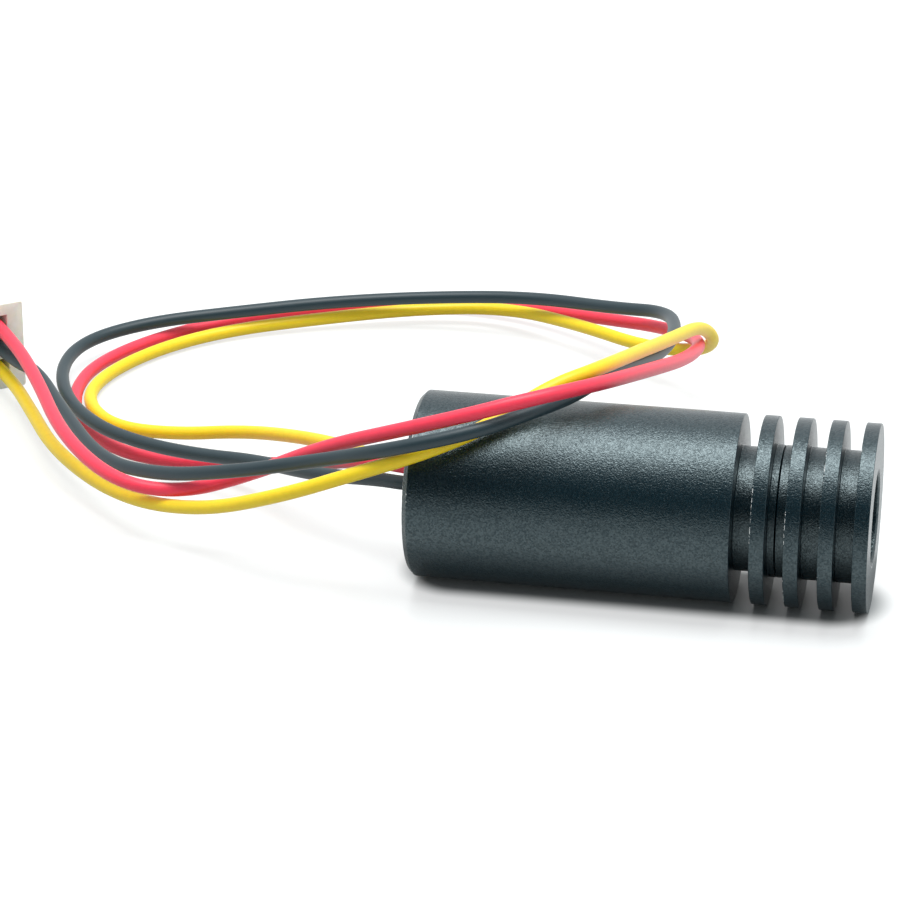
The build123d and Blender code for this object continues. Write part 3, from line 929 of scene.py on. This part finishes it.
cell_finish = ringed(
    "turned_anodised_cell", "#101417", "#1B2124", depth=0.008, Roughness=0.35, IOR=1.7
)
softened("lens_cell", "lens_group", rim_round=0.05, finish=cell_finish)
softened("lens_retainer", "lens_group", rim_round=0.04, finish=cell_finish)
turned_brass = ringed(
    "turned_brass", "#B8923F", "#D3B062", depth=0.006, Roughness=0.28, Metallic=1.0
)
dress(turned_brass, "diode_holder", "diode_ring")
turned_acetal = ringed(
    "turned_acetal_cap", "#0E1011", "#191C1E", depth=0.01, Roughness=0.45, IOR=1.48
)
softened("rear_cap", "module", rim_round=0.08, finish=turned_acetal)
print("ring spacing", ring_spacing, "mm")

# %% [markdown]
# The lens is crown glass, polished, with a coating a quarter of a wave thick that cuts reflections.
# The film's thickness in nanometres and its IOR are those of magnesium fluoride for green light, and
# what the coating still reflects is faintly purple. Dust on the glass is a slight change of
# roughness. The diode's window is borosilicate glass with the same coating.

# %% Polished glass
coating_thickness = 100.0
coating_ior = 1.38
dust_size = 0.2


def polished_glass(name, ior):
    """Clear polished glass with a reflection cutting film and a trace of dust."""
    material, tree, surface = new_finish(
        name,
        Base_Color=colour("#FAFDFC"),
        IOR=ior,
        Transmission_Weight=1.0,
        Thin_Film_Thickness=coating_thickness,
        Thin_Film_IOR=coating_ior,
    )
    place = add_node(tree, "ShaderNodeTexCoord")
    dust = add_node(
        tree,
        "ShaderNodeTexNoise",
        links={"Vector": place.outputs["Object"]},
        values={"Scale": 1 / (dust_size * MM), "Detail": 3.0},
    )
    haze = add_node(
        tree,
        "ShaderNodeMapRange",
        links={"Value": dust.outputs["Fac"]},
        values={"From Min": 0.5, "From Max": 0.8, "To Min": 0.01, "To Max": 0.12},
    )
    tree.links.new(haze.outputs["Result"], surface.inputs["Roughness"])
    return material


dress(polished_glass("polished_crown_glass", ior=1.52), "lens")
dress(polished_glass("polished_borosilicate_window", ior=1.47), "diode_window")
print("coating", coating_thickness, "nm")

# %% [markdown]
# Inside the barrel are the diode and its driver. Gold plating over nickel follows the faint orange
# peel under it, drawn steel keeps a fine grain, and the cleaved chip is a grey mirror. The board's
# solder mask is green lacquer over copper, and chip parts are fired ceramic or moulded epoxy. Each
# row has the finish's name, its two tones, the grain's size and depth in millimetres, the roughness,
# the IOR, or none for a metal, and the nodes that wear it.

# %% Diode and driver board
inner_finishes = [
    ("gold_plated_nickel", "#D9A441", "#E8BC5C", 0.25, 0.002, 0.2, None, ["diode_header", "diode_pins"]),
    ("drawn_steel", "#A6A7A6", "#BFC0BF", 0.15, 0.003, 0.3, None, ["diode_cap"]),
    ("cleaved_gallium_arsenide", "#5C6068", "#6E727A", 0.1, 0.0005, 0.12, None, ["laser_chip"]),
    ("green_solder_mask", "#0B4A28", "#136236", 0.8, 0.01, 0.3, 1.55, ["driver_board"]),
    ("moulded_epoxy", "#121315", "#202225", 0.12, 0.008, 0.6, 1.55, ["regulator_ic", "protection_diode"]),
    ("pressed_ferrite", "#2B2C30", "#3C3E43", 0.1, 0.01, 0.7, 1.6, ["power_inductor"]),
    ("tantalum_epoxy", "#C98F1E", "#DBA63A", 0.15, 0.006, 0.5, 1.55, ["filter_capacitor"]),
    ("glazed_resistor", "#15161A", "#24262B", 0.1, 0.003, 0.35, 1.5, ["chip_resistors"]),
    ("fired_ceramic", "#A98462", "#BD9877", 0.08, 0.004, 0.55, 1.6, ["chip_capacitors"]),
    ("bright_solder", "#BDBFC0", "#D4D6D6", 0.4, 0.006, 0.24, None, ["solder_joints"]),
    ("tinned_copper_strands", "#B4B2AE", "#CFCDC8", 0.1, 0.008, 0.32, None, ["lead_conductors"]),
    ("moulded_rubber", "#141516", "#202122", 0.12, 0.008, 0.75, 1.52, ["lead_grommet"]),
]
for name, dark, light, grain, depth, roughness, ior, wearers in inner_finishes:
    kind = {"Metallic": 1.0} if ior is None else {"IOR": ior}
    finish = grained(name, dark, light, grain, depth, Roughness=roughness, **kind)
    dress(finish, *wearers)
print("finishes", len(bpy.data.materials))
